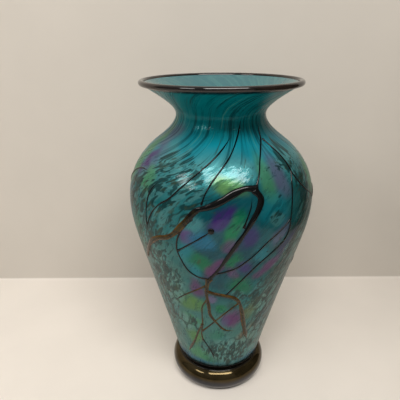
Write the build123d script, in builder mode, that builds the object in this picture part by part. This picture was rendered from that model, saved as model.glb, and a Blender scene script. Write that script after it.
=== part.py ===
from build123d import *
import math
import os

# A hand blown vase of cased art glass: a clear gather inside, a thin coloured overlay outside it,
# black glass threads trailed over the body in a loose web, a black lip wrap and an applied black foot.
# Millimetres, +Z up. The origin is the centre of the foot's underside, on the vase's axis.
# Angles round the vase are in degrees: 0 faces -Y, and they grow towards +X.

# ---------------------------------------------------------------- foot
FOOT_RADIUS = 32.7
FOOT_ROUND = 7.7  # radius of the foot's round edge, which is a ring of glass
PONTIL_RADIUS = 17.0  # the ground hollow under the foot, inside the resting ring
PONTIL_DEPTH = 2.2
COLLAR_TOP = 19.5  # the collar of black glass drawn up round the bubble
COLLAR_RADIUS = 28.7
COLLAR_EDGE = 1.4  # width of the collar's top edge, under the overlay
COLLAR_START = 70.0  # degrees up the round edge where the collar rises from it
COLLAR_FILLET = 0.8

# ---------------------------------------------------------------- body
BELLY = (56.4, 134.0)
NECK = (26.4, 184.0)
RIM = (46.0, 200.8)
CONE_SLOPE = 0.265  # radius gained per millimetre of height above the collar
RIM_FLARE = 58.0  # degrees from vertical
BODY_OUTLINE = [
    (COLLAR_RADIUS, COLLAR_TOP),
    (43.6, 76.0),
    (51.5, 105.5),
    BELLY,
    (52.4, 152.3),
    (40.1, 167.5),
    (29.3, 177.0),
    NECK,
    (31.2, 190.8),
    RIM,
]
BASE_WALL = 3.6  # both layers of glass together, at the collar
RIM_WALL = 1.8
OVERLAY_SHARE = 0.3  # the overlay's share of the wall
SIDE_SPANS = 40  # spans of the outlines inside the wall

# Each layer's round bottom: its lowest point and the round where it turns up into the wall.
BUBBLE_BOTTOM = 10.0
OVERLAY_BOTTOM, OVERLAY_ROUND = 11.1, 12.0
CAVITY_BOTTOM, CAVITY_ROUND = 15.5, 14.0

# ---------------------------------------------------------------- lip wrap
LIP_CENTRE = (45.5, 201.4)
LIP_HALF_WIDTH = 1.75
LIP_HALF_HEIGHT = 1.6

# ---------------------------------------------------------------- trails
# Each thread has a flat base on the body and a round back: half its width, and how proud it stands.
THICK = (1.5, 0.75)
MEDIUM = (0.95, 0.5)
THIN = (0.6, 0.4)
LIFT = 0.06  # keeps the straight facets of a thread's base clear of the round body
PACE = 1.0  # spacing of the places worked out along a route
PLACES_PER_SECTION = 3
SHORTEST_STRETCH = 4  # places
END_SCALE = 0.5  # size of a thread at its drawn-out ends
TAPER = 8.0  # length over which an end swells to full size
BISECTIONS = 22
DROP_PLACE = (-7.0, 133.3)
DROP_RADIUS = 1.9
DROP_HEIGHT = 0.9
DROP_FILLET = 0.8

# Every thread as laid on, with its path given as (angle, height).
TRAILS = {
    # the web in front
    "trail_loop_left_arm": (
        THICK,
        [(19, 153), (12, 154), (5, 152), (-2, 148.5), (-9, 145.5), (-15, 143.5), (-22, 135.5), (-28, 129),
         (-33, 125.5), (-39, 123.5), (-46, 119), (-55, 109), (-64, 99)],
    ),
    "trail_loop_right_arm": (
        THICK,
        [(17, 153), (20, 149), (19, 145), (14, 137), (6.5, 125), (2, 117), (-2.5, 109), (-8, 101.5)],
    ),
    "trail_stem": (
        MEDIUM,
        [(-9, 101), (-10.5, 95), (-11, 88), (-10, 79), (-9, 71), (-4, 64.5), (3, 58), (12, 56)],
    ),
    "trail_brown_arch": (
        THICK,
        [(-10.5, 91), (-5, 89.5), (2, 88), (8, 86), (12.5, 82), (16, 74), (19, 65), (23, 55), (29, 44)],
    ),
    "trail_loop_left_side": (
        THIN,
        [(-17, 139), (-22, 133.5), (-26, 126), (-27, 119), (-25, 112), (-22, 106), (-16, 102), (-9, 101)],
    ),
    "trail_loop_inner": (THIN, [(15, 150), (14, 145), (12, 140), (10, 134.5)]),
    "trail_drop_thread": (THIN, [(-26.5, 118.5), (-18.5, 124.5), (-13, 128.5), (-9, 131.5)]),
    "trail_neck_to_loop": (THIN, [(15, 176), (5, 168), (-5, 159.5), (-10, 153), (-12.5, 146.5)]),
    "trail_left_shoulder": (
        THIN,
        [(8, 176), (-5, 168), (-15, 161.5), (-24, 154.5), (-32, 147), (-38, 143), (-44, 136), (-49, 125)],
    ),
    "trail_far_left": (THIN, [(-42, 154), (-46.5, 148), (-48, 138), (-48, 129)]),
    "trail_right_shoulder": (THIN, [(40, 174), (32, 169.5), (26, 165), (22, 159.5), (18.5, 154.5)]),
    "trail_right_side": (
        THIN,
        [(41.5, 173.5), (46, 167.5), (47.5, 163), (48.5, 156), (52.5, 150.5), (58, 146), (65, 142),
         (71, 138)],
    ),
    "trail_right_stay": (THIN, [(48, 158), (44.5, 153), (41.5, 144), (40, 135), (39.5, 128), (37, 122)]),
    "trail_upper_cross": (
        THIN,
        [(-5, 105), (2, 107), (8, 109.5), (14, 114), (19.5, 119), (24.5, 124), (32, 129), (39.5, 134)],
    ),
    "trail_lower_cross": (THIN, [(2.5, 88.5), (9, 96), (15, 103), (22, 110.5), (29, 116), (36.5, 121.5)]),
    "trail_left_fork": (THIN, [(-11, 84), (-15, 78), (-16, 70), (-16.5, 61), (-18.5, 53), (-18, 46)]),
    "trail_lower_left": (MEDIUM, [(-16.5, 62), (-22, 53), (-28, 43), (-35, 35), (-42, 28)]),
    "trail_foot_stay": (THIN, [(-18, 47), (-13.5, 41), (-9, 34), (-6, 26)]),
    "trail_low_cross": (THIN, [(-17.5, 55), (-9, 62.5), (-3, 68), (5, 75), (12.5, 81)]),
    "trail_left_cross": (THIN, [(-40, 76), (-30, 83.5), (-20, 90), (-11, 95.5)]),
    # the web on the right, round to the back
    "trail_back_arch": (
        THICK,
        [(97, 117), (102, 128), (110, 137), (119, 143), (128, 145.5), (138, 144), (146, 137), (150, 127),
         (149, 115), (142, 105), (133, 99)],
    ),
    "trail_back_brown": (
        THICK,
        [(133.5, 99), (127, 94), (122, 86), (120, 76), (118, 65), (113, 53), (106, 43)],
    ),
    "trail_back_rise": (THIN, [(128, 145.5), (124, 153), (119, 160), (113, 166), (106, 171), (99, 175)]),
    "trail_back_cross": (THIN, [(150, 122), (158, 119), (167, 119), (175, 122), (182, 128), (187, 133)]),
    "trail_right_low": (THIN, [(97, 117), (91, 111), (86, 104), (79, 99), (71, 95.5), (62, 95)]),
    "trail_right_high": (THIN, [(71, 138), (78, 141.5), (87, 141), (96, 136), (105, 131.5)]),
    "trail_back_fall": (THIN, [(143, 105.5), (151, 99), (159, 91), (165, 82), (167, 73), (165, 63)]),
    # the web on the left, round to the back
    "trail_far_arch": (
        THICK,
        [(186, 132), (190, 141), (197, 148), (206, 151.5), (216, 151), (225, 145), (230, 136), (231, 125),
         (226, 114), (218, 105), (210, 98), (204, 90), (200, 80)],
    ),
    "trail_far_brown": (
        MEDIUM,
        [(226, 113), (235, 108), (244, 106.5), (254, 108), (264, 108), (274, 103), (285, 95)],
    ),
    "trail_far_rise": (THIN, [(206, 151.5), (203, 159), (198, 165), (191, 170), (182, 174)]),
    "trail_far_cross": (
        THIN,
        [(231, 130), (240, 127.5), (249, 128), (258, 132), (267, 139), (276, 147), (285, 153), (295, 156.5),
         (305, 157)],
    ),
    "trail_far_low": (THIN, [(218, 104.5), (227, 101), (236, 96), (244, 89), (250, 80), (253, 70)]),
    "trail_far_fall": (THIN, [(200, 80), (194, 73), (190, 64), (190, 54), (195, 44)]),
}


# ---------------------------------------------------------------- shared outlines
def wall_at(height):
    """Thickness of the body's wall, which thins evenly from the collar to the rim."""
    rise = (height - COLLAR_TOP) / (RIM[1] - COLLAR_TOP)
    return BASE_WALL + (RIM_WALL - BASE_WALL) * rise


def body_side():
    """The body's outside, from the collar to the rim."""
    flare = math.radians(RIM_FLARE)
    with BuildLine() as side:
        Spline(*BODY_OUTLINE, tangents=[(CONE_SLOPE, 1), (math.sin(flare), math.cos(flare))])
    return side.edge()


SIDE = body_side()


def sunk_point(along, share):
    """A point of the side, moved into the wall by a share of its thickness."""
    place = SIDE @ along
    inward = Vector(-(SIDE % along).Y, (SIDE % along).X)
    return place + inward * (share * wall_at(place.Y))


MOUTH = sunk_point(1, 1)  # the inner edge of the rim


def layer_section(share, bottom, corner_round):
    """Half section of all that lies inside a surface within the wall."""
    with BuildSketch() as section:
        with BuildLine():
            side = Spline(*[sunk_point(span / SIDE_SPANS, share) for span in range(SIDE_SPANS + 1)])
            if share < 1:
                Line(side @ 1, MOUTH)
            Polyline(MOUTH, (0, MOUTH.Y), (0, bottom))
            TangentArc((0, bottom), side @ 0, tangent=(1, 0))
        make_face()
        fillet(section.vertices().sort_by_distance(side @ 0)[0], corner_round)
    return section.sketch


def bubble_section():
    """Half section of all that lies inside the body's outside, with a step for the collar's edge."""
    with BuildSketch() as section:
        with BuildLine():
            add(SIDE)
            Line(SIDE @ 1, MOUTH)
            Polyline(MOUTH, (0, MOUTH.Y), (0, BUBBLE_BOTTOM))
            seat = TangentArc((0, BUBBLE_BOTTOM), (COLLAR_RADIUS - COLLAR_EDGE, COLLAR_TOP), tangent=(1, 0))
            Line(seat @ 1, SIDE @ 0)
        make_face()
    return section.sketch


BUBBLE = bubble_section()
GATHER = layer_section(OVERLAY_SHARE, OVERLAY_BOTTOM, OVERLAY_ROUND)
CAVITY = layer_section(1, CAVITY_BOTTOM, CAVITY_ROUND)

os.makedirs("parts", exist_ok=True)

# ---------------------------------------------------------------- inner gather
with BuildPart() as inner_gather:
    with BuildSketch(Plane.XZ):
        add(GATHER)
        add(CAVITY, mode=Mode.SUBTRACT)
    revolve(axis=Axis.Z)

inner_gather.part.label = "inner_gather"
export_step(inner_gather.part, "parts/inner_gather.step")

# ---------------------------------------------------------------- colour overlay
with BuildPart() as colour_overlay:
    with BuildSketch(Plane.XZ):
        add(BUBBLE)
        add(GATHER, mode=Mode.SUBTRACT)
    revolve(axis=Axis.Z)

colour_overlay.part.label = "colour_overlay"
export_step(colour_overlay.part, "parts/colour_overlay.step")

# ---------------------------------------------------------------- lip wrap
with BuildPart() as lip_wrap:
    with BuildSketch(Plane.XZ):
        with Locations(LIP_CENTRE):
            Ellipse(LIP_HALF_WIDTH, LIP_HALF_HEIGHT)
        add(BUBBLE - CAVITY, mode=Mode.SUBTRACT)
    revolve(axis=Axis.Z)

lip_wrap.part.label = "lip_wrap"
export_step(lip_wrap.part, "parts/lip_wrap.step")

# ---------------------------------------------------------------- foot
with BuildPart() as foot:
    with BuildSketch(Plane.XZ) as foot_section:
        with BuildLine():
            edge = CenterArc((FOOT_RADIUS - FOOT_ROUND, FOOT_ROUND), FOOT_ROUND, -90, 90 + COLLAR_START)
            Line(edge @ 1, (COLLAR_RADIUS, COLLAR_TOP))
            Polyline((COLLAR_RADIUS, COLLAR_TOP), (0, COLLAR_TOP), (0, PONTIL_DEPTH))
            TangentArc((0, PONTIL_DEPTH), (PONTIL_RADIUS, 0), tangent=(1, 0))
            Line((PONTIL_RADIUS, 0), edge @ 0)
        make_face()
        fillet(foot_section.vertices().sort_by_distance(edge @ 1)[0], COLLAR_FILLET)
        add(BUBBLE, mode=Mode.SUBTRACT)
    revolve(axis=Axis.Z)

foot.part.label = "foot"
export_step(foot.part, "parts/foot.step")


# ---------------------------------------------------------------- trails
def side_at(height):
    """How far along the side a height is reached."""
    low, high = 0.0, 1.0
    for _ in range(BISECTIONS):
        middle = (low + high) / 2
        if (SIDE @ middle).Y < height:
            low = middle
        else:
            high = middle
    return low


def on_body(angle, height):
    """A place on the body's surface, and the direction that points straight out of it."""
    along = side_at(height)
    place, rising = SIDE @ along, SIDE % along
    sine, cosine = math.sin(math.radians(angle)), math.cos(math.radians(angle))
    outward = Vector(rising.Y * sine, -rising.Y * cosine, -rising.X)
    return Vector(place.X * sine, -place.X * cosine, place.Y) + outward * LIFT, outward


def route_places(route):
    """Places along a thread's route, evenly spaced."""
    with BuildLine() as plan:
        Spline(*route)
    path = plan.edge()
    paces = round(path.length / PACE)
    return [on_body((path @ (pace / paces)).X, (path @ (pace / paces)).Y) for pace in range(paces + 1)]


def clear_stretches(places, half_width, laid):
    """The stretches of a route that stay clear of the threads laid before it."""
    stretches = [[]]
    for place in places:
        gaps = [math.dist(place[0], other) - room for others, room in laid for other in others]
        if min(gaps, default=half_width) > half_width * END_SCALE:
            stretches[-1].append(place)
        elif stretches[-1]:
            stretches.append([])
    return [stretch for stretch in stretches if len(stretch) >= SHORTEST_STRETCH]


def section_plane(stretch, index):
    """Plane across a thread, with its X across the thread and its Y straight out of the body."""
    before = stretch[max(index - 1, 0)][0]
    after = stretch[min(index + 1, len(stretch) - 1)][0]
    place, outward = stretch[index]
    across = outward.cross(after - before)
    return Plane(place, x_dir=across, z_dir=across.cross(outward))


laid = []
for name, ((half_width, height), route) in TRAILS.items():
    places = route_places(route)
    with BuildPart() as trail:
        for stretch in clear_stretches(places, half_width, laid):
            last = len(stretch) - 1
            sections = max(1, round(last / PLACES_PER_SECTION))
            for section in range(sections + 1):
                index = round(last * section / sections)
                size = min(1, END_SCALE + PACE * min(index, last - index) / TAPER)
                with BuildSketch(section_plane(stretch, index)):
                    with BuildLine():
                        left, right = (-half_width * size, 0), (half_width * size, 0)
                        ThreePointArc(left, (0, height * size), right)
                        Line(right, left)
                    make_face()
            loft(ruled=True)
        if name == "trail_drop_thread":
            place, outward = on_body(*DROP_PLACE)
            with BuildSketch(Plane(place, z_dir=outward)):
                Circle(DROP_RADIUS)
            drop = extrude(amount=DROP_HEIGHT)
            fillet(drop.faces().sort_by(Axis(place, outward))[-1].edges(), DROP_FILLET)
    trail.part.label = name
    export_step(trail.part, f"parts/{name}.step")
    laid.append(([place for place, outward in places], half_width))
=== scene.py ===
import math

import bpy
import numpy as np
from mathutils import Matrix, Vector


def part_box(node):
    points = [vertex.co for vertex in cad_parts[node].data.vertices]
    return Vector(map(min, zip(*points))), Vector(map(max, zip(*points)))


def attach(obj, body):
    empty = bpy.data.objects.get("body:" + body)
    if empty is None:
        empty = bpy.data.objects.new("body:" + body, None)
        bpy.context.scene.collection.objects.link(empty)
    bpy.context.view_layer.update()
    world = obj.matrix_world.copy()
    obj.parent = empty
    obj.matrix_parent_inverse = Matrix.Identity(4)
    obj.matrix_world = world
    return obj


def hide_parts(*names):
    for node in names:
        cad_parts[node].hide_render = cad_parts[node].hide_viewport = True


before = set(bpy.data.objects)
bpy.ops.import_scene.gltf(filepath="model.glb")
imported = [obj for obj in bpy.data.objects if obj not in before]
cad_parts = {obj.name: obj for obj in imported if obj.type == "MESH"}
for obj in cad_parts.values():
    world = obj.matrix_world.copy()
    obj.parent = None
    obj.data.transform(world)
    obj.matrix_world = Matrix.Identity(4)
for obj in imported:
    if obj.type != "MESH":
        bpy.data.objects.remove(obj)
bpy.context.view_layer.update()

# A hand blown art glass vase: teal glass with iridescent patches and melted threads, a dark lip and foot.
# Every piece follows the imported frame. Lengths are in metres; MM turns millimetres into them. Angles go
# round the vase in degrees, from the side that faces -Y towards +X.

MM = 0.001

# The turned pieces
AROUND = 360  # steps round them
ROW = 0.95 * MM  # step up their sides
ON_AXIS = 1e-7  # a point nearer to the axis than this is on it
SEAM_REACH = 0.001 * MM  # the same for the seam of a CAD mesh
SWELL = 0.14 * MM  # how far the blown wall wanders from a true round
# The waves of that wandering: lobes round the vase, radians per metre of height, start and strength.
SWAYS = ((2, 21, 0.7, 1.0), (3, -37, 2.1, 0.7), (5, 55, 0.0, 0.4))
SWAY_INSET = 1.2  # keeps the wandering wall inside the CAD's outline
LEAN_OUT = 0.3 * MM  # how far the belly sits towards +X
NECK_HEIGHT = 166 * MM  # where the shoulder turns into the neck
GATHER_GAP = 0.05 * MM  # between the gather and the overlay around it
LIP_SQUASH = 1.05  # width of the lip's section per height
LIP_WAVER = 0.10 * MM  # how far the lip wanders
LIP_RIPPLE = 0.06 * MM
LIP_INSET = 0.02 * MM
FOOT_ROUND = 7.7 * MM  # radius of the ring of glass that the vase stands on
FOOT_WAVER = 0.14 * MM  # how far it wanders
FOOT_RIPPLE = 0.10 * MM
FOOT_INSET = 0.05 * MM
FOOT_FREE = 4 * MM  # above this height the foot wanders freely
COLLAR_START = 70  # degrees up the ring where the collar rises
HOLLOW_RADIUS = 17 * MM  # the ground hollow under the foot
HOLLOW_DEPTH = 2.2 * MM

# The flow of the glass, at heights in mm: its twist in degrees, and the height its pattern is drawn from.
TWIST_HEIGHTS = (0, 60, 110, 145, 176, 186, 191, 196, 203)
TWIST = (0, 14, 34, 54, 78, 81, 85, 93, 108)
DRAWN_HEIGHTS = (0, 60, 150, 166, 200)
DRAWN = (0, 42, 93, 99, 105)
TWIST_UNEVEN = 0.45  # share by which the +X side is twisted further
EVEN_TWIST = (178, 150)  # even above the first of these heights in mm, uneven below the second
FLOW_RADIUS = 44  # mm; the pattern gets no narrower than this
STREAK_START = NECK_HEIGHT - 10 * MM
STREAK_FULL = NECK_HEIGHT + 12 * MM

# The threads
THREAD_STEP = 0.4  # mm between the places worked out along a thread
SECTION_STEP = 24  # degrees round a thread's section
SUNK_SHARE = 0.45  # depth of a thread under the skin per height above it
THREAD_LIFT = 0.02 * MM
JOIN_REACH = 2.4 * MM  # an end this near to another thread runs into it
JOIN_SWELLING = 0.6  # share by which a thread is thicker where it joins another
JOIN_LENGTH = 1.9 * MM
TIP_LENGTH = 9 * MM  # length over which a free end tapers
TIP_START = -1.2 * MM
TIP_HEIGHT = 0.5  # height of a free end per height of its thread
TIP_FLOOR = 0.25  # keeps a free end from thinning away
# How a thread's width wanders along it: length of a wave and strength.
WIDTH_WAVES = ((4.3 * MM, 0.13), (1.9 * MM, 0.08))
STAIN_SPAN = (0.15, 0.7)  # shares of a thread's length between which its stain changes

# Threads as in the frame, some drawn out a little further up the neck: name, weight (half width and height
# in mm) and route of (angle, height in mm). Their CAD nodes have the same names after "trail_".
THICK = (1.5, 0.75)
MEDIUM = (0.95, 0.5)
THIN = (0.44, 0.4)
TRAILS = [
    ("loop_left_arm", THICK,
     [(19, 153), (12, 154), (5, 152), (-2, 148.5), (-9, 145.5), (-15, 143.5), (-22, 135.5), (-28, 129),
      (-33, 125.5), (-39, 123.5), (-46, 119), (-55, 109), (-64, 99)]),
    ("loop_right_arm", THICK,
     [(17, 153), (20, 149), (19, 145), (14, 137), (6.5, 125), (2, 117), (-2.5, 109), (-8, 101.5)]),
    ("stem", MEDIUM,
     [(-9, 101), (-10.5, 95), (-11, 88), (-10, 79), (-9, 71), (-4, 64.5), (3, 58), (12, 56)]),
    ("brown_arch", THICK,
     [(-10.5, 91), (-5, 89.5), (2, 88), (8, 86), (12.5, 82), (16, 74), (19, 65), (23, 55), (29, 44)]),
    ("loop_left_side", THIN,
     [(-17, 139), (-22, 133.5), (-26, 126), (-27, 119), (-25, 112), (-22, 106), (-16, 102), (-9, 101)]),
    ("loop_inner", THIN, [(15, 150), (14, 145), (12, 140), (10, 134.5)]),
    ("drop_thread", THIN, [(-26.5, 118.5), (-18.5, 124.5), (-13, 128.5), (-9, 131.5), (-5.6, 134.3)]),
    ("neck_to_loop", THIN,
     [(22, 184), (19, 180), (15, 176), (5, 168), (-5, 159.5), (-10, 153), (-12.5, 146.5)]),
    ("left_shoulder", THIN,
     [(8, 176), (-5, 168), (-15, 161.5), (-24, 154.5), (-32, 147), (-38, 143), (-44, 136), (-49, 125)]),
    ("far_left", THIN, [(-42, 154), (-46.5, 148), (-48, 138), (-48, 129)]),
    ("right_shoulder", THIN,
     [(47, 181), (44, 178), (40, 174), (32, 169.5), (26, 165), (22, 159.5), (18.5, 154.5)]),
    ("right_side", THIN,
     [(41.5, 173.5), (46, 167.5), (47.5, 163), (48.5, 156), (52.5, 150.5), (58, 146), (65, 142),
      (71, 138)]),
    ("right_stay", THIN, [(48, 158), (44.5, 153), (41.5, 144), (40, 135), (39.5, 128), (37, 122)]),
    ("upper_cross", THIN,
     [(-5, 105), (2, 107), (8, 109.5), (14, 114), (19.5, 119), (24.5, 124), (32, 129), (39.5, 134)]),
    ("lower_cross", THIN, [(2.5, 88.5), (9, 96), (15, 103), (22, 110.5), (29, 116), (36.5, 121.5)]),
    ("left_fork", THIN, [(-11, 84), (-15, 78), (-16, 70), (-16.5, 61), (-18.5, 53), (-18, 46)]),
    ("lower_left", MEDIUM, [(-16.5, 62), (-22, 53), (-28, 43), (-35, 35), (-42, 28)]),
    ("foot_stay", THIN, [(-18, 47), (-13.5, 41), (-9, 34), (-6, 26)]),
    ("low_cross", THIN, [(-17.5, 55), (-9, 62.5), (-3, 68), (5, 75), (12.5, 81)]),
    ("left_cross", THIN, [(-40, 76), (-30, 83.5), (-20, 90), (-11, 95.5)]),
    ("back_arch", THICK,
     [(97, 117), (102, 128), (110, 137), (119, 143), (128, 145.5), (138, 144), (146, 137), (150, 127),
      (149, 115), (142, 105), (133, 99)]),
    ("back_brown", THICK, [(133.5, 99), (127, 94), (122, 86), (120, 76), (118, 65), (113, 53), (106, 43)]),
    ("back_rise", THIN, [(128, 145.5), (124, 153), (119, 160), (113, 166), (106, 171), (99, 175)]),
    ("back_cross", THIN, [(150, 122), (158, 119), (167, 119), (175, 122), (182, 128), (187, 133)]),
    ("right_low", THIN, [(97, 117), (91, 111), (86, 104), (79, 99), (71, 95.5), (62, 95)]),
    ("right_high", THIN, [(71, 138), (78, 141.5), (87, 141), (96, 136), (105, 131.5)]),
    ("back_fall", THIN, [(143, 105.5), (151, 99), (159, 91), (165, 82), (167, 73), (165, 63)]),
    ("far_arch", THICK,
     [(186, 132), (190, 141), (197, 148), (206, 151.5), (216, 151), (225, 145), (230, 136), (231, 125),
      (226, 114), (218, 105), (210, 98), (204, 90), (200, 80)]),
    ("far_brown", MEDIUM,
     [(226, 113), (235, 108), (244, 106.5), (254, 108), (264, 108), (274, 103), (285, 95)]),
    ("far_rise", THIN, [(206, 151.5), (203, 159), (198, 165), (191, 170), (182, 174)]),
    ("far_cross", THIN,
     [(231, 130), (240, 127.5), (249, 128), (258, 132), (267, 139), (276, 147), (285, 153), (295, 156.5),
      (305, 157)]),
    ("far_low", THIN, [(218, 104.5), (227, 101), (236, 96), (244, 89), (250, 80), (253, 70)]),
    ("far_fall", THIN, [(200, 80), (194, 73), (190, 64), (190, 54), (195, 44)]),
]
# How brown a thread is where it starts and where it ends; a thread that isn't here is black.
STAINS = {
    "loop_left_arm": (-0.1, 0.95), "stem": (0.85, 0.6), "brown_arch": (0.8, 1.0),
    "loop_right_arm": (0.0, 0.1), "left_fork": (0.7, 0.7), "lower_left": (0.7, 0.6),
    "low_cross": (0.5, 0.6), "left_cross": (0.2, 0.7), "back_brown": (0.5, 1.0), "far_arch": (0.1, 0.8),
    "far_brown": (0.7, 0.9), "far_fall": (0.8, 0.8), "back_arch": (0.6, 0.1),
}
# A thread's share of its full width where it starts and where it ends; 1 if it isn't here.
WIDTHS = {
    "loop_left_arm": (1.25, 0.85), "loop_right_arm": (1.15, 0.5), "stem": (1.3, 0.6),
    "lower_left": (0.5, 1.0), "brown_arch": (0.6, 1.05), "back_arch": (0.6, 1.1), "far_arch": (0.6, 1.0),
    "back_brown": (0.8, 1.4),
}
# Threads that end in a round drop, and its radius in mm.
DROPS = {"drop_thread": 1.7}
DROP_RISE = 0.5  # height of a drop per radius

# Palette of the glass, as display colours from 0 to 255.
PALETTE = {
    "teal": (6, 96, 100), "deep teal": (0, 120, 128), "bright teal": (16, 130, 146), "aqua": (76, 146, 150),
    "blue": (14, 92, 124), "violet": (54, 32, 98), "purple": (80, 54, 108), "pink": (88, 48, 94),
    "lilac": (94, 88, 122), "green": (0, 104, 64), "pale green": (72, 136, 92),
    # The near black (6, 12, 18) is painted shade, for the foot of the body and a line under the lip.
    "yellow green": (82, 124, 62), "olive": (92, 98, 44), "smoke": (112, 100, 78), "painted shade": (6, 12, 18),
    "lake": (0, 62, 76), "haze": (60, 110, 106), "moss": (20, 52, 44), "vein": (2, 64, 74),
    "cell line": (26, 60, 56), "cell glass": (94, 136, 130), "pale chip": (80, 134, 134),
    "dark chip": (10, 46, 46), "brown chip": (52, 66, 50), "dark streak": (0, 42, 48),
    "light streak": (70, 144, 138), "sheen": (96, 150, 148), "inner aqua": (42, 102, 108),
    # The dark teal (14, 62, 66) of the inside is painted shade, deep in the vase.
    "inner wisp": (56, 114, 116), "inner painted shade": (14, 62, 66), "lip black": (14, 8, 7),
    # The foot's two greys are partly a painted reflection of the floor on its lower side.
    "lip brown": (34, 22, 18), "dark gold": (58, 48, 28), "gold": (76, 65, 42), "dark grey": (60, 60, 64),
    # The foot's near black (4, 4, 5) is painted shade on its collar.
    "grey": (76, 75, 78), "painted collar shade": (4, 4, 5), "thread black": (9, 10, 10), "umber": (24, 18, 4),
    "khaki": (50, 42, 14), "amber": (66, 40, 4), "honey": (92, 64, 16), "floor": (240, 232, 222),
    "wall": (213, 206, 196), "card": (90, 92, 86), "paper grain": (150, 145, 135), "sky": (206, 207, 208),
    "backdrop": (208, 202, 192), "lamp": (255, 252, 248),
}
# The glass under the patches, from the foot up: height in mm and colour, with even blends between. The near
# black stops are painted shade: where the body meets the foot, and a thin line under the lip.
GROUND = (
    # The first stop is painted shade where the body meets the foot's collar.
    (20.8, "painted shade"), (22.6, "blue"), (29, "haze"), (66, "haze"), (96, "teal"), (150, "teal"),
    # The near black from 199.2 to 199.8 mm is a painted shadow of the lip and its reflection, just under the
    # bead.
    (164, "aqua"), (172, "bright teal"), (179, "deep teal"), (198.6, "deep teal"), (199.2, "painted shade"),
    (199.8, "painted shade"), (200.3, "smoke"),
)
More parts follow.
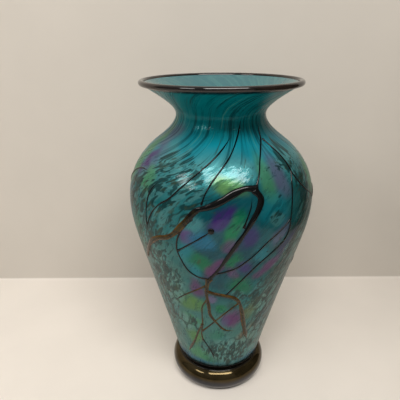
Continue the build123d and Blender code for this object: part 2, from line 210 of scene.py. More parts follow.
# Iridescent patches: angle, height and half sizes in mm, lean from upright in degrees, colour, strength.
PATCHES = [
    (2, 122, 24, 34, 25, "lake", 0.95), (24, 146, 14, 16, 0, "teal", 0.3),
    (-42, 140, 22, 30, 10, "teal", 0.5), (-40, 160, 20, 12, 40, "aqua", 0.4),
    (-44, 96, 20, 26, 0, "haze", 0.8), (58, 112, 20, 40, 15, "moss", 0.9), (4, 40, 30, 18, 0, "haze", 0.6),
    (118, 118, 26, 30, 10, "lake", 0.9), (210, 124, 26, 32, 0, "lake", 0.9),
    (276, 110, 20, 34, 0, "haze", 0.7), (160, 62, 40, 30, 0, "haze", 0.6),
    (-59, 162, 5, 9, 55, "purple", 1.0), (-64, 173, 4, 10, 60, "lilac", 0.7),
    (-46, 167, 6, 8, 50, "aqua", 0.6), (-32, 172, 8, 5, 30, "bright teal", 0.7),
    (-52, 153, 5, 6, 20, "pale green", 0.8), (-76, 162, 5, 16, 10, "pale green", 0.9),
    (28, 171, 9, 6, 0, "bright teal", 0.8), (2, 155, 8, 4, 10, "yellow green", 0.8),
    (26.5, 156, 4, 9, -6, "pale green", 0.65), (36, 156, 4.2, 9, -10, "lilac", 0.7),
    (24, 143, 4.5, 6, 0, "bright teal", 0.4), (33, 141, 4, 8, -5, "bright teal", 0.4),
    (-1, 139.5, 3.6, 7.5, 45, "violet", 1.0), (5, 134, 3.2, 9.5, 25, "green", 1.0),
    (-17, 135, 5, 5, 30, "aqua", 0.45), (-20, 128.5, 3.4, 4.4, 30, "purple", 0.9),
    (-12, 127, 6, 5, 30, "blue", 0.9), (-22, 118, 4, 6, 10, "bright teal", 0.5),
    (-13, 112, 7, 5, 40, "green", 0.8), (-17, 106, 5, 3, 60, "bright teal", 0.5),
    (-5, 109, 3, 8, 40, "pink", 0.9), (3, 124, 3.4, 4, 20, "pink", 0.75),
    (14, 129, 4, 6, 20, "violet", 0.75), (6, 114, 4, 4.5, 20, "green", 0.85),
    (12, 109, 5, 3.2, 50, "violet", 0.8), (6, 105.5, 4, 2.4, 60, "pink", 0.8),
    (22, 117, 4, 4, 40, "bright teal", 0.5), (30, 107.5, 3, 9, 50, "pink", 0.9),
    (33, 127, 3.5, 7, 45, "lilac", 0.7), (40, 119, 3, 8, 45, "purple", 0.5),
    (-18, 92, 6, 3.4, 80, "pink", 0.85), (-27, 79, 7, 6, 0, "yellow green", 0.8),
    (-18, 80, 4, 4, 0, "yellow green", 0.6), (-7.5, 84.5, 2.6, 2.6, 0, "lilac", 0.9),
    (12, 95, 7, 5, 30, "green", 0.7), (0, 77, 3, 3.4, 0, "green", 1.0), (7, 79, 3.2, 2.6, 30, "moss", 0.7),
    (9, 67.5, 5.6, 6, 20, "pink", 1.0), (3, 65, 3, 3, 0, "purple", 0.6),
    (-27, 62, 6, 6, 0, "pale green", 0.6), (-27, 48, 5, 6, 0, "yellow green", 0.8),
    (-24, 31, 7, 5, 0, "pale green", 0.8), (-8, 30, 5, 5, 0, "green", 0.6), (-3, 52, 4, 5, 0, "green", 0.5),
    (26, 74, 4, 7, 35, "olive", 1.0), (46, 61, 5, 9, 30, "lilac", 0.6), (4, 43, 4.5, 6, 0, "aqua", 0.5),
    (33, 30, 7, 4, 0, "aqua", 0.6), (27, 50, 4.6, 9, 22, "smoke", 1.0), (34, 44, 5, 2.6, 80, "smoke", 0.8),
    (-60, 118, 5, 14, 5, "pale green", 0.5),
    # Round the sides and the back
    (72, 150, 6, 10, 20, "pale green", 0.7), (84, 128, 6, 9, 35, "violet", 0.8),
    (92, 150, 8, 8, 10, "bright teal", 0.7), (78, 106, 6, 7, 30, "green", 0.7),
    (118, 132, 7, 7, 20, "violet", 0.9), (134, 128, 6, 10, 15, "green", 0.9),
    (112, 118, 6, 8, 30, "blue", 0.8), (128, 112, 7, 5, 20, "pink", 0.9),
    (140, 118, 4, 6, 20, "bright teal", 0.7), (106, 96, 6, 7, 20, "yellow green", 0.8),
    (132, 80, 6, 9, 10, "pink", 0.8), (146, 92, 6, 7, 30, "green", 0.7), (108, 70, 6, 8, 10, "lilac", 0.7),
    (140, 58, 7, 9, 0, "pale green", 0.8), (112, 40, 6, 8, 20, "smoke", 0.8),
    (165, 134, 7, 7, 30, "purple", 0.9), (172, 108, 7, 8, 20, "green", 0.8),
    (160, 156, 8, 7, 20, "pale green", 0.7), (135, 162, 7, 8, 30, "lilac", 0.7),
    (186, 150, 6, 8, 10, "blue", 0.8), (180, 88, 6, 8, 20, "lilac", 0.7),
    (178, 60, 7, 9, 0, "yellow green", 0.7), (204, 138, 6, 8, 15, "violet", 0.9),
    (218, 138, 6, 9, 0, "green", 0.9), (208, 122, 6, 7, 20, "pink", 0.9), (220, 120, 5, 8, 10, "blue", 0.8),
    (206, 106, 5, 6, 20, "yellow green", 0.8), (228, 92, 6, 7, 20, "pink", 0.8),
    (212, 72, 7, 8, 10, "lilac", 0.7), (222, 160, 8, 7, 30, "bright teal", 0.7),
    (244, 118, 7, 5, 40, "violet", 0.8), (256, 120, 6, 6, 30, "green", 0.8),
    (250, 142, 7, 9, 30, "pale green", 0.8), (272, 124, 6, 9, 30, "purple", 0.8),
    (266, 92, 7, 8, 20, "green", 0.7), (286, 136, 6, 9, 20, "blue", 0.8),
    (232, 48, 7, 9, 0, "pale green", 0.7), (280, 60, 7, 9, 0, "yellow green", 0.7),
    (258, 40, 7, 6, 0, "lilac", 0.6),
]
# Where dark chips crowd: angle, height, half sizes in mm, lean.
CHIP_FIELDS = [
    (-32, 152, 20, 11, 45), (-38, 134, 9, 12, 20), (-50, 118, 16, 18, 0), (-46, 96, 16, 16, 0),
    (-22, 160, 13, 5, 50), (50, 165, 10, 6, -40), (-52, 140, 9, 14, 10), (12, 88, 5, 3, 40),
    (-24, 62, 7, 2.5, 80), (2, 36, 13, 7, 0), (17, 34, 12, 12, 0), (40, 92, 12, 26, 35),
    (55, 120, 12, 34, 15), (38, 64, 6, 18, 35), (56, 150, 8, 10, 0), (30, 137, 5, 4, 40),
    (-60, 70, 16, 22, 0), (62, 70, 18, 30, 20), (88, 88, 16, 20, 10), (100, 150, 14, 10, 30),
    (92, 40, 14, 16, 0), (152, 150, 12, 12, 40), (160, 120, 5, 12, 10), (150, 74, 12, 14, 10),
    (160, 40, 22, 14, 0), (190, 112, 6, 16, 10), (184, 165, 20, 6, 50), (238, 148, 12, 12, 30),
    (240, 70, 14, 16, 0), (262, 108, 12, 6, 60), (280, 110, 14, 14, 20), (292, 84, 16, 20, 0),
    (258, 160, 18, 8, 50), (210, 40, 20, 14, 0), (296, 145, 10, 14, 20),
]
# Where the glass has pale cells edged with dark: angle, height, half sizes in mm, lean.
CELL_FIELDS = [
    (14, 36, 16, 13, 0), (32, 44, 8, 12, 20), (-44, 106, 6, 6, 0), (-38, 88, 8, 16, 10), (-34, 60, 6, 8, 0),
    (42, 84, 8, 18, 30), (58, 118, 8, 16, 10), (70, 52, 20, 18, 0), (150, 40, 24, 14, 0),
    (236, 52, 26, 16, 0), (-70, 50, 12, 24, 0),
]
PATCH_EDGE = (1.65, 0.6)  # where a patch ends and where it is full; its half sizes are 1
FIELD_EDGE = (1.35, 0.65)  # the same for chips and cells
PATCH_WANDER = 0.26  # how ragged the patches' edges are
# The waves that make them ragged: radians per mm along x, y and z, and start.
COARSE_WAVES = ((0.55, 0, 0.31, 1.1), (0, 0.47, -0.38, 2.3), (0.2, -0.3, 0.62, 0))
FINE_WAVES = ((1.7, 0.8, -1.1, 0), (0, 1.3, 1.6, 0))
FINE_SHARE = 0.3
# Above these heights the foot's collar is painted shade: black, without metal.
BLOOM_TOP = (14.3 * MM, 15.0 * MM)  # heights where the foot's bloom gives way to black
# The grey end of the bloom is partly a painted reflection of the floor.
GOLD_START = (8.5 * MM, 11.5 * MM)  # heights where that bloom turns from grey to gold

# The studio
WALL_BACK = 0.110  # how far behind the vase the wall stands
BEND = 0.002  # radius of the curve between floor and wall
SWEEP_FRONT = -0.75
SWEEP_TOP = 1.4
SWEEP_HALF_WIDTH = 1.6
CARD_SIDE = 0.25  # the grey card stands this far to the right
CARD_FRONT = -0.30
CARD_TOP = 0.45
LIGHT_TARGET = (0, 0, 0.15)
# Soft lights: name, place, size and power in watts.
LIGHTS = (
    ("key_panel", (0.06, -0.51, 0.92), (0.74, 0.24), 7.2),
    ("left_panel", (-0.62, -0.47, 0.78), (0.30, 0.18), 1.6),
)
SKY_HORIZON = 0.22  # strength of the sky's light
SKY_OVERHEAD = 0.55
SKY_FULL = 0.9  # sine of the angle up where it has its full strength
CAMERA_PLACE = (-0.0118, -0.2385, 0.2222)
CAMERA_DIP = 21.48  # degrees below level
CAMERA_ROLL = 0.38
LENS = 36.09  # mm
SENSOR = 36.0  # mm


def linear(display):
    """A display colour from 0 to 255 as linear light from 0 to 1."""
    shades = np.asarray(display, float) / 255
    return np.where(shades <= 0.04045, shades / 12.92, ((shades + 0.055) / 1.055) ** 2.4)


def shade(name):
    """A colour of the palette as linear light."""
    return linear(PALETTE[name])


def smoothstep(low, high, value):
    """0 below low, 1 above high, and a soft S between them."""
    share = np.clip((value - low) / (high - low), 0, 1)
    return share * share * (3 - 2 * share)


# ---- shapes read from the frame


def seam_points(node, outward):
    """(radius, height) points up one side of a turned node, read where its mesh crosses the +X half of XZ."""
    points = set()
    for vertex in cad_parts[node].data.vertices:
        on_seam = abs(vertex.co.y) < SEAM_REACH and vertex.co.x > 0
        if on_seam and (vertex.normal.x > 0) == outward:
            points.add((round(vertex.co.z, 6), round(vertex.co.x, 6)))
    return np.array([(radius, height) for height, radius in sorted(points)])


def flowing_curve(places, values, wanted):
    """A smooth curve through values at places, read at the wanted places."""
    gaps = np.diff(places)
    slopes = np.diff(values) / gaps
    inner = (values[2:] - values[:-2]) / (places[2:] - places[:-2])
    tangents = np.r_[slopes[0], inner, slopes[-1]]
    span = np.clip(np.searchsorted(places, wanted) - 1, 0, len(gaps) - 1)
    gap = gaps[span]
    share = (wanted - places[span]) / gap
    keep = 1 - share
    curve = values[span] * keep**2 * (1 + 2 * share) + values[span + 1] * share**2 * (1 + 2 * keep)
    return curve + gap * share * keep * (tangents[span] * keep - tangents[span + 1] * share)


def evenly(points, step):
    """A smooth curve through points, as points that are step apart."""
    lengths = np.r_[0, np.cumsum(np.linalg.norm(np.diff(points, axis=0), axis=1))]
    wanted = np.linspace(0, lengths[-1], max(2, round(lengths[-1] / step) + 1))
    columns = [flowing_curve(lengths, points[:, column], wanted) for column in range(points.shape[1])]
    return np.stack(columns, axis=1)


def pole(points):
    """Where the side of a round bottom meets the axis, from its two lowest points."""
    (radius_1, height_1), (radius_2, height_2) = points[:2]
    height = height_1 - (height_2 - height_1) * radius_1**2 / (radius_2**2 - radius_1**2)
    return np.array([[0.0, height]])


FOOT_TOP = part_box("foot")[1].z
LEDGE_TOP = FOOT_TOP + 0.01 * MM  # rows of the body above this are free of the collar
FREE_HEIGHT = 2.5 * FOOT_TOP  # above this the wall wanders freely
LEAN_HEIGHTS = (3 * FOOT_TOP, 7 * FOOT_TOP)  # the wall leans out between these


def blown_outline(node):
    """The two sides of a blown layer, each from the axis up to the rim: its outside and its inside."""
    outside = seam_points(node, True)
    inside = seam_points(node, False)
    ledge = np.sum(outside[:, 1] < LEDGE_TOP) - 1
    bottom = evenly(np.r_[pole(outside), outside[:ledge]], ROW)
    side = evenly(outside[ledge:-1], ROW)
    return np.r_[bottom, side], evenly(np.r_[pole(inside), inside], ROW)


OUTSIDE, OVERLAY_INSIDE = blown_outline("colour_overlay")
GATHER_OUTSIDE, CAVITY = blown_outline("inner_gather")
RIM_HEIGHT = OUTSIDE[-1, 1]
COLLAR_ROW = int(np.argmax(OUTSIDE[:, 1] > LEDGE_TOP))  # where the body leaves the collar


def swell(angle, height):
    """How far the blown wall stands off a true round."""
    turn = np.radians(angle)
    sway = sum(share * np.sin(lobes * turn + rate * height + start) for lobes, rate, start, share in SWAYS)
    free = smoothstep(FOOT_TOP, FREE_HEIGHT, height) * smoothstep(RIM_HEIGHT, NECK_HEIGHT, height)
    bow = LEAN_OUT * np.sin(turn) * smoothstep(*LEAN_HEIGHTS, height)
    return (SWELL * (sway - SWAY_INSET) + bow) * free


def body_radius(angle, height):
    """The outside radius of the vase."""
    return np.interp(height, OUTSIDE[:, 1], OUTSIDE[:, 0]) + swell(angle, height)


def on_body(angle, height):
    """Points on the outside of the vase."""
    turn = np.radians(angle)
    radius = body_radius(angle, height)
    return np.stack([radius * np.sin(turn), -radius * np.cos(turn), height + 0 * turn], axis=-1)


def body_normal(angle, height):
    """Outward directions at places on the outside of the vase."""
    step = 0.5 * MM
    turn = np.radians(angle)
    slope = (body_radius(angle, height + step) - body_radius(angle, height - step)) / (2 * step)
    normal = np.stack([np.sin(turn), -np.cos(turn), -slope + 0 * turn], axis=-1)
    return normal / np.linalg.norm(normal, axis=-1, keepdims=True)


# ---- meshes


def add_object(name, data):
    """Puts an object in the scene."""
    thing = bpy.data.objects.new(name, data)
    bpy.context.scene.collection.objects.link(thing)
    return thing


def smooth_mesh(name, points, faces, material):
    """A smooth shaded mesh object of one material."""
    mesh = bpy.data.meshes.new(name)
    mesh.from_pydata(points, [], faces)
    mesh.validate()
    mesh.polygons.foreach_set("use_smooth", [True] * len(mesh.polygons))
    mesh.materials.append(material)
    return add_object(name, mesh)


def make_piece(name, points, faces, material, node):
    """A mesh object that rides on the vase and stands for a CAD node."""
    piece = smooth_mesh(name, points.tolist(), faces, material)
    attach(piece, "root")
    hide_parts(node)
    return piece


def turned_mesh(outline, spread):
    """Points and faces of an outline turned about Z. Spread says how far they stand off a true round."""
    angles = np.arange(AROUND) * 360 / AROUND
    turns = np.radians(angles)
    points = []
    rings = []
    for radius, height in outline:
        first = len(points)
        if radius < ON_AXIS:
            points.append((0.0, 0.0, height))
            rings.append([first] * AROUND)
            continue
        radii = radius + spread(angles, height)
        ring = np.stack([radii * np.sin(turns), -radii * np.cos(turns), np.full(AROUND, height)], axis=1)
        points.extend(ring.tolist())
        rings.append(list(range(first, first + AROUND)))
    faces = []
    pairs = list(zip(rings, rings[1:]))
    if outline[0][0] > ON_AXIS:
        pairs.append((rings[-1], rings[0]))
    for below, above in pairs:
        for step in range(AROUND):
            after = (step + 1) % AROUND
            corners = [below[step], below[after], above[after], above[step]]
            faces.append(list(dict.fromkeys(corners)))
    return np.array(points), faces


def add_attribute(piece, name, values):
    """Stores a number or a colour for each vertex of a piece."""
    kind = "FLOAT" if values.ndim == 1 else "FLOAT_COLOR" if values.shape[1] == 4 else "FLOAT_VECTOR"
    field = {"FLOAT": "value", "FLOAT_COLOR": "color", "FLOAT_VECTOR": "vector"}[kind]
    attribute = piece.data.attributes.new(name, kind, "POINT")
    attribute.data.foreach_set(field, np.ascontiguousarray(values, np.float32).ravel())


def vertex_places(piece):
    """Angle in degrees, height and position of each vertex of a piece."""
    points = np.array([vertex.co for vertex in piece.data.vertices])
    angles = np.degrees(np.arctan2(points[:, 0], -points[:, 1]))
    return angles, points[:, 2], points


# ---- fields painted on the glass


def patch_reach(angles, heights, patch):
    """Distance of places from a leaning oval patch: 0 at its middle, 1 at its edge."""
    angle, height, half_width, half_height, lean = patch[:5]
    turn = (angles - angle + 180) % 360 - 180
    side = np.radians(turn) * body_radius(angle, height * MM) / MM
    rise = heights / MM - height
    lean = math.radians(lean)
    across = side * math.cos(lean) - rise * math.sin(lean)
    along = side * math.sin(lean) + rise * math.cos(lean)
    return np.hypot(across / half_width, along / half_height)


def soft_field(angles, heights, ovals):
    """1 inside any of the ovals, falling softly to 0 outside."""
    field = np.zeros(len(angles))
    for oval in ovals:
        field = np.maximum(field, smoothstep(*FIELD_EDGE, patch_reach(angles, heights, oval)))
    return field


def waves(points, table):
    """Sine waves through space, at positions in metres."""
    return [np.sin(points @ np.array(slopes) / MM + start) for *slopes, start in table]


def ragged(points):
    """A wandering number from about -1 to 1 that makes the patches' edges uneven."""
    coarse = sum(waves(points, COARSE_WAVES)) / len(COARSE_WAVES)
    return coarse + FINE_SHARE * np.prod(waves(points, FINE_WAVES), axis=0)


def paint_patches(colours, angles, heights, points):
    """Lays the patches over the ground colours, one after another."""
    wander = PATCH_WANDER * ragged(points)
    for patch in PATCHES:
        name, strength = patch[5:]
        cover = strength * smoothstep(*PATCH_EDGE, patch_reach(angles, heights, patch) + wander)
        colours += cover[:, None] * (shade(name) - colours)
    return colours


def ground_colours(heights):
    """The colours of the glass under the patches, with painted shade where the body meets the foot and in a
    thin line under the lip.
    """
    stops = [height * MM for height, _ in GROUND]
    table = np.array([shade(name) for _, name in GROUND])
    return np.stack([np.interp(heights, stops, table[:, channel]) for channel in range(3)], axis=1)


def flow(angles, heights):
    """Coordinates that follow the twisted, drawn out glass, in millimetres, without a seam."""
    rise = heights / MM
    twist = np.interp(rise, TWIST_HEIGHTS, TWIST)
    twist *= 1 + TWIST_UNEVEN * np.sin(np.radians(angles)) * smoothstep(*EVEN_TWIST, rise)
    radius = np.maximum(np.interp(heights, OUTSIDE[:, 1], OUTSIDE[:, 0]) / MM, FLOW_RADIUS)
    turns = np.radians(angles - twist)
    drawn = np.interp(rise, DRAWN_HEIGHTS, DRAWN)
    return np.stack([radius * np.sin(turns), -radius * np.cos(turns), drawn], axis=1)


def paint_fields(piece):
    """Gives the body glass the fields that its material reads."""
    angles, heights, points = vertex_places(piece)
    tint = paint_patches(ground_colours(heights), angles, heights, points)
    fields = {
        "tint": np.hstack([tint, np.ones((len(angles), 1))]),
        "chips": soft_field(angles, heights, CHIP_FIELDS),
        "cells": soft_field(angles, heights, CELL_FIELDS),
        "streaks": smoothstep(STREAK_START, STREAK_FULL, heights),
        "flow": flow(angles, heights),
    }
    for name, values in fields.items():
        add_attribute(piece, name, values)


# ---- materials


class Graph:
    """A material's node tree. Most calls make a node and return the socket that it gives."""

    def __init__(self, name):
        self.material = bpy.data.materials.new(name)
        self.material.use_nodes = True
        self.nodes = self.material.node_tree.nodes
        self.links = self.material.node_tree.links
        self.shader = self.nodes["Principled BSDF"]

    def fill(self, socket, value):
        """Links a socket to another, or sets its value."""
        if isinstance(value, bpy.types.NodeSocket):
            self.links.new(value, socket)
        elif socket.type == "RGBA":
            socket.default_value = (*value[:3], 1)
        else:
            socket.default_value = value

    def set(self, **values):
        """Fills the shader's sockets, named with underscores for spaces."""
        for name, value in values.items():
            self.fill(self.shader.inputs[name.replace("_", " ")], value)

    def attribute(self, name, output="Fac"):
        """A field stored on the mesh."""
        node = self.nodes.new("ShaderNodeAttribute")
        node.attribute_name = name
        return node.outputs[output]

    def node(self, kind, vector, **values):
        """A node fed with a vector, and with values for its other inputs."""
        node = self.nodes.new(kind)
        self.fill(node.inputs["Vector"], vector)
        for name, value in values.items():
            node.inputs[name].default_value = value
        return node

    def position(self):
        return self.nodes.new("ShaderNodeTexCoord").outputs["Object"]

    def height(self):
        return self.node("ShaderNodeSeparateXYZ", self.position()).outputs["Z"]

    def stretch(self, vector, upwards, move=(0, 0, 0)):
        """Scales a vector's Z, which draws a pattern out where upwards is under 1, and shifts it."""
        return self.node("ShaderNodeMapping", vector, Scale=(1, 1, upwards), Location=move).outputs["Vector"]

    def noise(self, vector, size, detail, distortion=0.0):
        """Noise from 0 to 1 whose features are about size long, in the vector's units."""
        node = self.node("ShaderNodeTexNoise", vector, Scale=1 / size, Detail=detail, Distortion=distortion)
        return node.outputs["Fac"]

    def cracks(self, vector, size):
        """Distance to the nearest edge of a net of cells about size across."""
        node = self.node("ShaderNodeTexVoronoi", vector, Scale=1 / size)
        node.feature = "DISTANCE_TO_EDGE"
        return node.outputs["Distance"]

    def math(self, operation, first, second):
        node = self.nodes.new("ShaderNodeMath")
        node.operation = operation
        self.fill(node.inputs[0], first)
        self.fill(node.inputs[1], second)
        return node.outputs[0]

    def add(self, first, second):
        return self.math("ADD", first, second)

    def times(self, first, second):
        return self.math("MULTIPLY", first, second)

    def smooth(self, value, low, high, start=0.0, end=1.0):
        """Goes from start to end on a soft S as value goes from low to high."""
        node = self.nodes.new("ShaderNodeMapRange")
        node.interpolation_type = "SMOOTHSTEP"
        sockets = ("Value", "From Min", "From Max", "To Min", "To Max")
        for socket, number in zip(sockets, (value, low, high, start, end)):
            self.fill(node.inputs[socket], number)
        return node.outputs["Result"]

    def mix(self, factor, first, second):
        """The first colour where factor is 0, the second where it is 1."""
        node = self.nodes.new("ShaderNodeMix")
        node.data_type = "RGBA"
        self.fill(node.inputs["Factor"], factor)
        self.fill(node.inputs[6], first)
        self.fill(node.inputs[7], second)
        return node.outputs[2]

    def clouded(self, cloud, first, second):
        """Drifts between two colours of the palette."""
        return self.mix(self.smooth(cloud, 0.35, 0.65), shade(first), shade(second))

    def bump(self, height, distance):
        """Normals of a relief, whose heights are in units of distance."""
        node = self.nodes.new("ShaderNodeBump")
        self.fill(node.inputs["Height"], height)
        node.inputs["Distance"].default_value = distance
        node.inputs["Strength"].default_value = 1.0
        return node.outputs["Normal"]


def lay_cells(graph, colour, place, fine):
    """Cells of paler glass between dark lines."""
    edge = graph.cracks(graph.stretch(place, upwards=1.15), size=6.5)
    inside = graph.smooth(graph.add(edge, graph.times(fine, 0.16)), 0.10, 0.22)
    cell_colour = graph.mix(inside, shade("cell line"), shade("cell glass"))
    return graph.mix(graph.times(graph.attribute("cells"), 0.85), colour, cell_colour)


def lay_chips(graph, colour, place):
    """Wisps of pale glass, dark green flecks and a few brown ones, crowded where the chip field is high."""
    chips = graph.attribute("chips")

    def crowded(pull, upwards, move, **grain):
        noise = graph.noise(graph.stretch(place, upwards, move), **grain)
        return graph.add(noise, graph.times(chips, pull))

    pale = crowded(0.12, upwards=0.55, move=(3, 9, 4), size=3.5, detail=3, distortion=0.3)
    pale = graph.times(graph.smooth(pale, 0.55, 0.7, end=0.5), graph.smooth(chips, 0, 0.6, start=0.15))
    colour = graph.mix(pale, colour, shade("pale chip"))
    dark = crowded(0.20, upwards=0.6, move=(7, 3, 5), size=2.5, detail=2, distortion=0.9)
    colour = graph.mix(graph.smooth(dark, 0.65, 0.74, end=0.85), colour, shade("dark chip"))
    brown = crowded(0.09, upwards=0.75, move=(31, 11, 2), size=2.6, detail=2, distortion=0.9)
    return graph.mix(graph.smooth(brown, 0.66, 0.73, end=0.6), colour, shade("brown chip"))


def lay_streaks(graph, colour, place, broad, streaks):
    """Dark and light streaks drawn up the neck; the dark ones come in bunches."""
    strands = graph.noise(graph.stretch(place, upwards=0.3), size=2.8, detail=3, distortion=0.8)
    bunches = graph.times(graph.smooth(broad, 0.38, 0.6), streaks)
    dark = graph.times(graph.smooth(strands, 0.5, 0.4), bunches)
    colour = graph.mix(graph.times(dark, 0.7), colour, shade("dark streak"))
    light = graph.times(graph.smooth(strands, 0.60, 0.68), streaks)
    return graph.mix(graph.times(light, 0.7), colour, shade("light streak"))


def body_glass():
    """Iridescent teal glass: patches, pale cells low down, chips, and drawn out streaks in the neck.

    The sheen is a partly metallic base under a thin, strongly refracting coat, both on one dimpled skin.
    """
    graph = Graph("iridescent_teal_glass")
    place = graph.attribute("flow", "Vector")
    streaks = graph.attribute("streaks")
    drawn = graph.stretch(place, upwards=0.55)
    broad = graph.noise(drawn, size=9, detail=3)
    fine = graph.noise(drawn, size=2.6, detail=3, distortion=0.6)

    colour = graph.attribute("tint", "Color")
    colour = graph.mix(graph.smooth(broad, 0.5, 0.75, end=0.15), colour, shade("aqua"))
    colour = graph.mix(graph.smooth(fine, 0.3, 0.5, start=0.4, end=0), colour, shade("vein"))
    colour = lay_cells(graph, colour, place, fine)
    colour = lay_chips(graph, colour, place)
    colour = lay_streaks(graph, colour, place, broad, streaks)

    ripple = graph.noise(graph.stretch(place, upwards=0.8), size=2.4, detail=3)
    dimple = graph.noise(place, size=7, detail=2)
    skin = graph.bump(graph.add(ripple, graph.times(dimple, 2.5)), 0.21 * MM)
    graph.set(
        Base_Color=colour,
        Metallic=graph.smooth(streaks, 0, 1, start=0.35, end=0.12),
        Roughness=graph.smooth(fine, 0.2, 0.8, start=0.24, end=0.36),
        IOR=1.45,
        Specular_IOR_Level=0.15,
        Specular_Tint=shade("sheen"),
        Coat_Weight=graph.smooth(streaks, 0, 1, start=0.22, end=0.06),
        Coat_IOR=1.9,
        Coat_Roughness=0.1,
        Coat_Normal=skin,
        Normal=skin,
    )
    return graph.material


def gather_glass():
    """The pale aqua glass of the inner layer, with faint wisps, and painted shade that darkens it down
    inside.
    """
    graph = Graph("aqua_inner_glass")
    place = graph.attribute("flow", "Vector")
    wisps = graph.noise(graph.stretch(place, upwards=0.3), size=4, detail=3, distortion=0.8)
    colour = graph.mix(graph.smooth(wisps, 0.4, 0.65), shade("inner aqua"), shade("inner wisp"))
    graph.set(
        # Painted shade: darker down inside the vase, where the depth field is high.
        Base_Color=graph.mix(graph.attribute("depth"), colour, shade("inner painted shade")),
        Roughness=graph.smooth(wisps, 0.3, 0.7, start=0.10, end=0.2),
        IOR=1.5,
        Coat_Weight=0.5,
        Coat_Roughness=0.05,
        Normal=graph.bump(wisps, 0.1 * MM),
    )
    return graph.material


def polished(graph, cloud, least, most, **values):
    """Finishes a dark glass: polished, with a faint ripple, and a roughness between two values."""
    roughness = graph.smooth(cloud, 0.2, 0.8, start=least, end=most)
    graph.set(Roughness=roughness, Normal=graph.bump(cloud, 0.05 * MM), **values)
    return graph.material


def lip_glass():
    """The dark brown glass of the lip."""
    graph = Graph("lip_glass")
    cloud = graph.noise(graph.position(), size=9 * MM, detail=3, distortion=0.4)
    colour = graph.clouded(cloud, "lip black", "lip brown")
    return polished(graph, cloud, 0.04, 0.1, Base_Color=colour, IOR=1.5, Specular_IOR_Level=0.6)


def foot_glass():
    """Black glass with a thin metallic bloom: gold brown above, violet grey below, the grey partly a painted
    reflection of the floor. The collar has no bloom and is painted shade, black.
    """
    graph = Graph("foot_glass")
    height = graph.height()
    cloud = graph.noise(graph.position(), size=12 * MM, detail=3, distortion=0.4)
    gold = graph.clouded(cloud, "dark gold", "gold")
    grey = graph.clouded(cloud, "dark grey", "grey")
    uneven_height = graph.add(height, graph.times(cloud, 2 * MM))
    # The grey lower bloom partly paints the floor's reflection.
    bloom = graph.mix(graph.smooth(uneven_height, *GOLD_START), grey, gold)
    # Painted shade: the collar goes black and loses its metal.
    colour = graph.mix(graph.smooth(height, *BLOOM_TOP), bloom, shade("painted collar shade"))
    metal = graph.smooth(height, *BLOOM_TOP, start=0.8, end=0.0)
    look = {"Base_Color": colour, "Metallic": metal, "IOR": 1.5, "Specular_IOR_Level": 0.3}
    return polished(graph, cloud, 0.05, 0.11, **look)


def thread_glass():
    """The melted threads: black glass, silver stained to brown and orange where the stain field is high."""
    graph = Graph("thread_glass")
    cloud = graph.noise(graph.position(), size=3 * MM, detail=3, distortion=0.5)
    warm = graph.clouded(cloud, "amber", "honey")
    core = graph.mix(graph.smooth(cloud, 0.3, 0.6), shade("umber"), shade("khaki"))
    brown = graph.mix(graph.smooth(graph.attribute("edge"), 0.3, 0.9), core, warm)
    patchy = graph.add(graph.attribute("stain"), graph.times(graph.add(cloud, -0.5), 0.8))
    colour = graph.mix(graph.smooth(patchy, 0.2, 0.7), shade("thread black"), brown)
    return polished(graph, cloud, 0.07, 0.14, Base_Color=colour, IOR=1.45, Specular_IOR_Level=0.3)


def studio_paper(name, floor, wall):
    """Matt paper, seen from its front only, in one tone on the floor and another where it rises as a wall."""
    graph = Graph(name)
    grain = graph.noise(graph.position(), size=0.05, detail=4)
    tone = graph.mix(graph.smooth(graph.height(), 0.25 * BEND, BEND), shade(floor), shade(wall))
    behind = graph.nodes.new("ShaderNodeNewGeometry").outputs["Backfacing"]
    graph.set(
        Base_Color=graph.mix(graph.smooth(grain, 0.3, 0.7, end=0.04), tone, shade("paper grain")),
        Roughness=0.6,
        Specular_IOR_Level=0.2,
        Alpha=graph.math("SUBTRACT", 1.0, behind),
    )
    return graph.material


# ---- the blown layers, lip and foot


def make_layer(name, outside, inside, material, node):
    """A blown layer, turned from one outline: up its outside, over the rim and down its inside."""
    points, faces = turned_mesh(np.r_[outside, inside[::-1]], swell)
    return make_piece(name, points, faces, material, node)


def make_overlay():
    """The teal overlay, which carries the patches, chips, cells and streaks."""
    name = "body_overlay_glass"
    piece = make_layer(name, OUTSIDE, OVERLAY_INSIDE, body_glass(), "colour_overlay")
    paint_fields(piece)


def make_gather():
    """The clear inner gather, a hair smaller than the overlay's inside."""
    outside = GATHER_OUTSIDE - [GATHER_GAP, 0]
    outside[:, 0] = np.maximum(outside[:, 0], 0)
    piece = make_layer("inner_gather_glass", outside, CAVITY, gather_glass(), "inner_gather")
    angles, heights, _ = vertex_places(piece)
    add_attribute(piece, "flow", flow(angles, heights))
    # Where the inside gets painted shade: none near the rim, full from the neck down.
    add_attribute(piece, "depth", smoothstep(RIM_HEIGHT - 5 * MM, NECK_HEIGHT, heights))


def arc(centre, radii, start, end, steps):
    """Points on an arc of an ellipse, between two angles in degrees from its rightmost point."""
    turn = np.radians(np.linspace(start, end, steps))
    return np.stack([centre[0] + radii[0] * np.cos(turn), centre[1] + radii[1] * np.sin(turn)], axis=1)


def make_lip():
    """The bead of dark glass wrapped on the rim, a little uneven as a hand laid wrap is."""
    low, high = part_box("lip_wrap")
    half_height = (high.z - low.z) / 2
    half_width = half_height * LIP_SQUASH
    centre_height = high.z - half_height
    outline = arc((high.x - half_width, centre_height), (half_width, half_height), -90, 270, 25)[:-1]

    def waver(angles, height):
        turn = np.radians(angles)
        lean = (height - centre_height) / half_height
        return LIP_WAVER * np.sin(2 * turn + 1) + LIP_RIPPLE * np.sin(5 * turn) * lean - LIP_INSET

    points, faces = turned_mesh(outline, waver)
    make_piece("lip_bead", points, faces, lip_glass(), "lip_wrap")


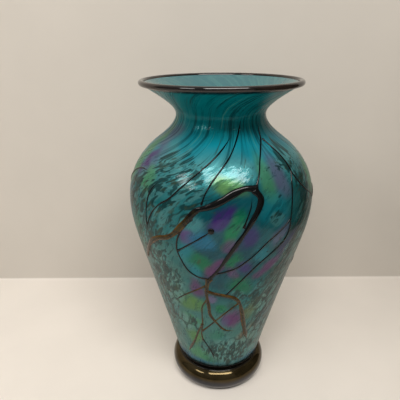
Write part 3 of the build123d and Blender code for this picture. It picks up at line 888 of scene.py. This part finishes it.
def make_foot():
    """The foot: a ring of glass, ground hollow below, with the collar drawn up above it."""
    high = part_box("foot")[1]
    edge = arc((high.x - FOOT_ROUND, FOOT_ROUND), (FOOT_ROUND, FOOT_ROUND), -90, COLLAR_START, 50)
    share = np.linspace(0, 1, 13)
    under = np.stack([share * HOLLOW_RADIUS, HOLLOW_DEPTH * np.cos(share * math.pi / 2)], axis=1)
    collar_top = np.array([OUTSIDE[COLLAR_ROW, 0], high.z])
    collar = edge[-1] + (collar_top - edge[-1]) * np.linspace(0, 1, 8)[1:, None]
    outline = np.r_[under, edge, collar, [[0, high.z]]]

    def sag(angles, height):
        turn = np.radians(angles)
        uneven = FOOT_WAVER * np.sin(turn + 0.6) + FOOT_RIPPLE * np.sin(3 * turn + 2) - FOOT_INSET
        return uneven * smoothstep(0, FOOT_FREE, height) * smoothstep(high.z, FOOT_ROUND, height)

    points, faces = turned_mesh(outline, sag)
    make_piece("foot_ring", points, faces, foot_glass(), "foot")


# ---- the threads


def route_curve(route):
    """Angles, heights and lengths so far at even steps along a route."""
    points = np.array(route, float)
    middle = points.mean(axis=0)
    scale = math.radians(1) * body_radius(middle[0], middle[1] * MM) / MM
    flat = points * [scale, 1]
    curve = evenly(flat, THREAD_STEP)
    along = np.r_[0, np.cumsum(np.linalg.norm(np.diff(curve, axis=0), axis=1))] * MM
    return curve[:, 0] / scale, curve[:, 1] * MM, along


def joins(place, own_name):
    """Whether an end of a thread runs into another thread."""
    here = on_body(place[0], place[1] * MM)
    others = [route_curve(route)[:2] for name, _, route in TRAILS if name != own_name]
    return min(np.linalg.norm(on_body(*places) - here, axis=1).min() for places in others) < JOIN_REACH


def drop_shape(distance, radius):
    """The half width of a round drop of glass, at a distance from its far side."""
    return np.sqrt(np.clip(radius**2 - (distance - radius) ** 2, 0, None))


def end_shape(distance, joined):
    """The share of a thread's full width at a distance from one of its ends."""
    if joined:
        return 1 + JOIN_SWELLING * np.exp(-((distance / JOIN_LENGTH) ** 2))
    return smoothstep(TIP_START, TIP_LENGTH, distance)


def thread_size(name, weight, route, along):
    """Half widths and heights along a thread, which wander, taper at free ends and swell at joints."""
    from_end = along[-1] - along
    start_width, end_width = WIDTHS.get(name, (1, 1))
    phase = sum(map(ord, "trail_" + name))
    wander = 1
    for order, (wave, strength) in enumerate(WIDTH_WAVES, 1):
        wander = wander + strength * np.sin(along / wave + order * phase)
    taper = end_shape(along, joins(route[0], name)) * end_shape(from_end, joins(route[-1], name))
    full_width = start_width + (end_width - start_width) * along / along[-1]
    half_widths = weight[0] * MM * wander * taper * full_width
    rise = TIP_HEIGHT + (1 - TIP_HEIGHT) * np.minimum(taper, 1)
    bead = weight[1] * MM * rise * np.minimum(1, taper + TIP_FLOOR)
    if name in DROPS:
        drop = drop_shape(from_end, DROPS[name] * MM)
        half_widths = np.maximum(half_widths, drop)
        bead = np.maximum(bead, DROP_RISE * drop)
    return half_widths, bead


def strand_mesh(centre, outward, half_widths, bead):
    """Points and faces of a strand, and how far to the side each point of its section is, -1 to 1."""
    forward = np.gradient(centre, axis=0)
    forward /= np.linalg.norm(forward, axis=1, keepdims=True)
    across = np.cross(forward, outward)
    section = np.radians(np.arange(0, 360, SECTION_STEP) + SECTION_STEP / 2)
    sides = np.cos(section)
    lifts = np.where(np.sin(section) > 0, np.sin(section), SUNK_SHARE * np.sin(section))
    rings = centre[:, None, :] + half_widths[:, None, None] * sides[None, :, None] * across[:, None, :]
    rings += (bead[:, None, None] * lifts[None, :, None] + THREAD_LIFT) * outward[:, None, :]
    steps = len(section)
    faces = []
    for ring in range(len(centre) - 1):
        here, beyond = ring * steps, (ring + 1) * steps
        for step in range(steps):
            after = (step + 1) % steps
            faces.append((beyond + step, beyond + after, here + after, here + step))
    faces.append(tuple(range(steps)))
    faces.append(tuple(range((len(centre) - 1) * steps, len(centre) * steps))[::-1])
    return rings.reshape(-1, 3), faces, sides


def make_thread(name, weight, route, material):
    """A melted thread: a low smooth bead that lies in the skin of the vase along a route."""
    angles, heights, along = route_curve(route)
    centre = on_body(angles, heights)
    outward = body_normal(angles, heights)
    points, faces, sides = strand_mesh(centre, outward, *thread_size(name, weight, route, along))
    piece = make_piece("thread_" + name, points, faces, material, "trail_" + name)
    start_stain, end_stain = STAINS.get(name, (0, 0))
    stain = start_stain + (end_stain - start_stain) * smoothstep(*STAIN_SPAN, along / along[-1])
    add_attribute(piece, "stain", np.repeat(stain, len(sides)))
    add_attribute(piece, "edge", np.tile(np.abs(sides), len(along)))


def make_threads():
    """All the threads, of one material."""
    material = thread_glass()
    for name, weight, route in TRAILS:
        make_thread(name, weight, route, material)


# ---- studio


def make_sweep():
    """A pale sweep: floor, a tight curve, and a wall behind the vase."""
    corner = np.radians(np.linspace(-90, 0, 9))
    line = [(SWEEP_FRONT, 0.0)]
    line += [(WALL_BACK - BEND + BEND * math.cos(turn), BEND + BEND * math.sin(turn)) for turn in corner]
    line.append((WALL_BACK, SWEEP_TOP))
    sides = (-SWEEP_HALF_WIDTH, SWEEP_HALF_WIDTH)
    points = [(side, depth, height) for depth, height in line for side in sides]
    faces = [(2 * row, 2 * row + 1, 2 * row + 3, 2 * row + 2) for row in range(len(line) - 1)]
    paper = studio_paper("studio_paper", "floor", "wall")
    smooth_mesh("studio_sweep", points, faces, paper)


def make_card():
    """A grey card on the right, which the camera doesn't see, that darkens the reflections on that side."""
    corners = [(CARD_FRONT, 0.0), (WALL_BACK, 0.0), (WALL_BACK, CARD_TOP), (CARD_FRONT, CARD_TOP)]
    points = [(CARD_SIDE, depth, height) for depth, height in corners]
    card = smooth_mesh("studio_card", points, [(3, 2, 1, 0)], studio_paper("card_paper", "card", "card"))
    card.visible_camera = False


def add_light(name, place, size, power):
    """A soft rectangular light aimed at the vase."""
    data = bpy.data.lights.new(name, "AREA")
    data.shape = "RECTANGLE"
    data.size, data.size_y = size
    data.energy = power
    data.color = shade("lamp")
    light = add_object(name, data)
    light.location = place
    aim = Vector(LIGHT_TARGET) - Vector(place)
    light.rotation_euler = aim.to_track_quat("-Z", "Y").to_euler()


def make_sky():
    """Even light from above that fades towards the horizon. The camera itself sees a plain, pale sky."""
    world = bpy.data.worlds.new("studio")
    bpy.context.scene.world = world
    world.use_nodes = True
    nodes, links = world.node_tree.nodes, world.node_tree.links
    parts = nodes.new("ShaderNodeSeparateXYZ")
    links.new(nodes.new("ShaderNodeTexCoord").outputs["Generated"], parts.inputs["Vector"])
    fade = nodes.new("ShaderNodeMapRange")
    fade.interpolation_type = "SMOOTHSTEP"
    links.new(parts.outputs["Z"], fade.inputs["Value"])
    fade.inputs["From Min"].default_value = 0.0
    fade.inputs["From Max"].default_value = SKY_FULL
    fade.inputs["To Min"].default_value = SKY_HORIZON
    fade.inputs["To Max"].default_value = SKY_OVERHEAD
    background = nodes["Background"]
    background.inputs["Color"].default_value = (*shade("sky"), 1)
    links.new(fade.outputs["Result"], background.inputs["Strength"])
    backdrop = nodes.new("ShaderNodeBackground")
    backdrop.inputs["Color"].default_value = (*shade("backdrop"), 1)
    choice = nodes.new("ShaderNodeMixShader")
    links.new(nodes.new("ShaderNodeLightPath").outputs["Is Camera Ray"], choice.inputs[0])
    links.new(background.outputs[0], choice.inputs[1])
    links.new(backdrop.outputs[0], choice.inputs[2])
    links.new(choice.outputs[0], nodes["World Output"].inputs["Surface"])


def make_studio():
    """Floor, wall, card, lights and sky."""
    make_sweep()
    make_card()
    for name, place, size, power in LIGHTS:
        add_light(name, place, size, power)
    make_sky()
    bpy.context.scene.view_settings.view_transform = "Standard"


def make_camera():
    """The camera stands close and a little above the lip, looking down past the shoulder."""
    data = bpy.data.cameras.new("camera")
    data.lens = LENS
    data.sensor_width = SENSOR
    camera = add_object("camera", data)
    camera.location = CAMERA_PLACE
    camera.rotation_euler = (math.radians(90 - CAMERA_DIP), math.radians(CAMERA_ROLL), 0)
    bpy.context.scene.camera = camera


make_overlay()
make_gather()
make_lip()
make_foot()
make_threads()
make_studio()
make_camera()
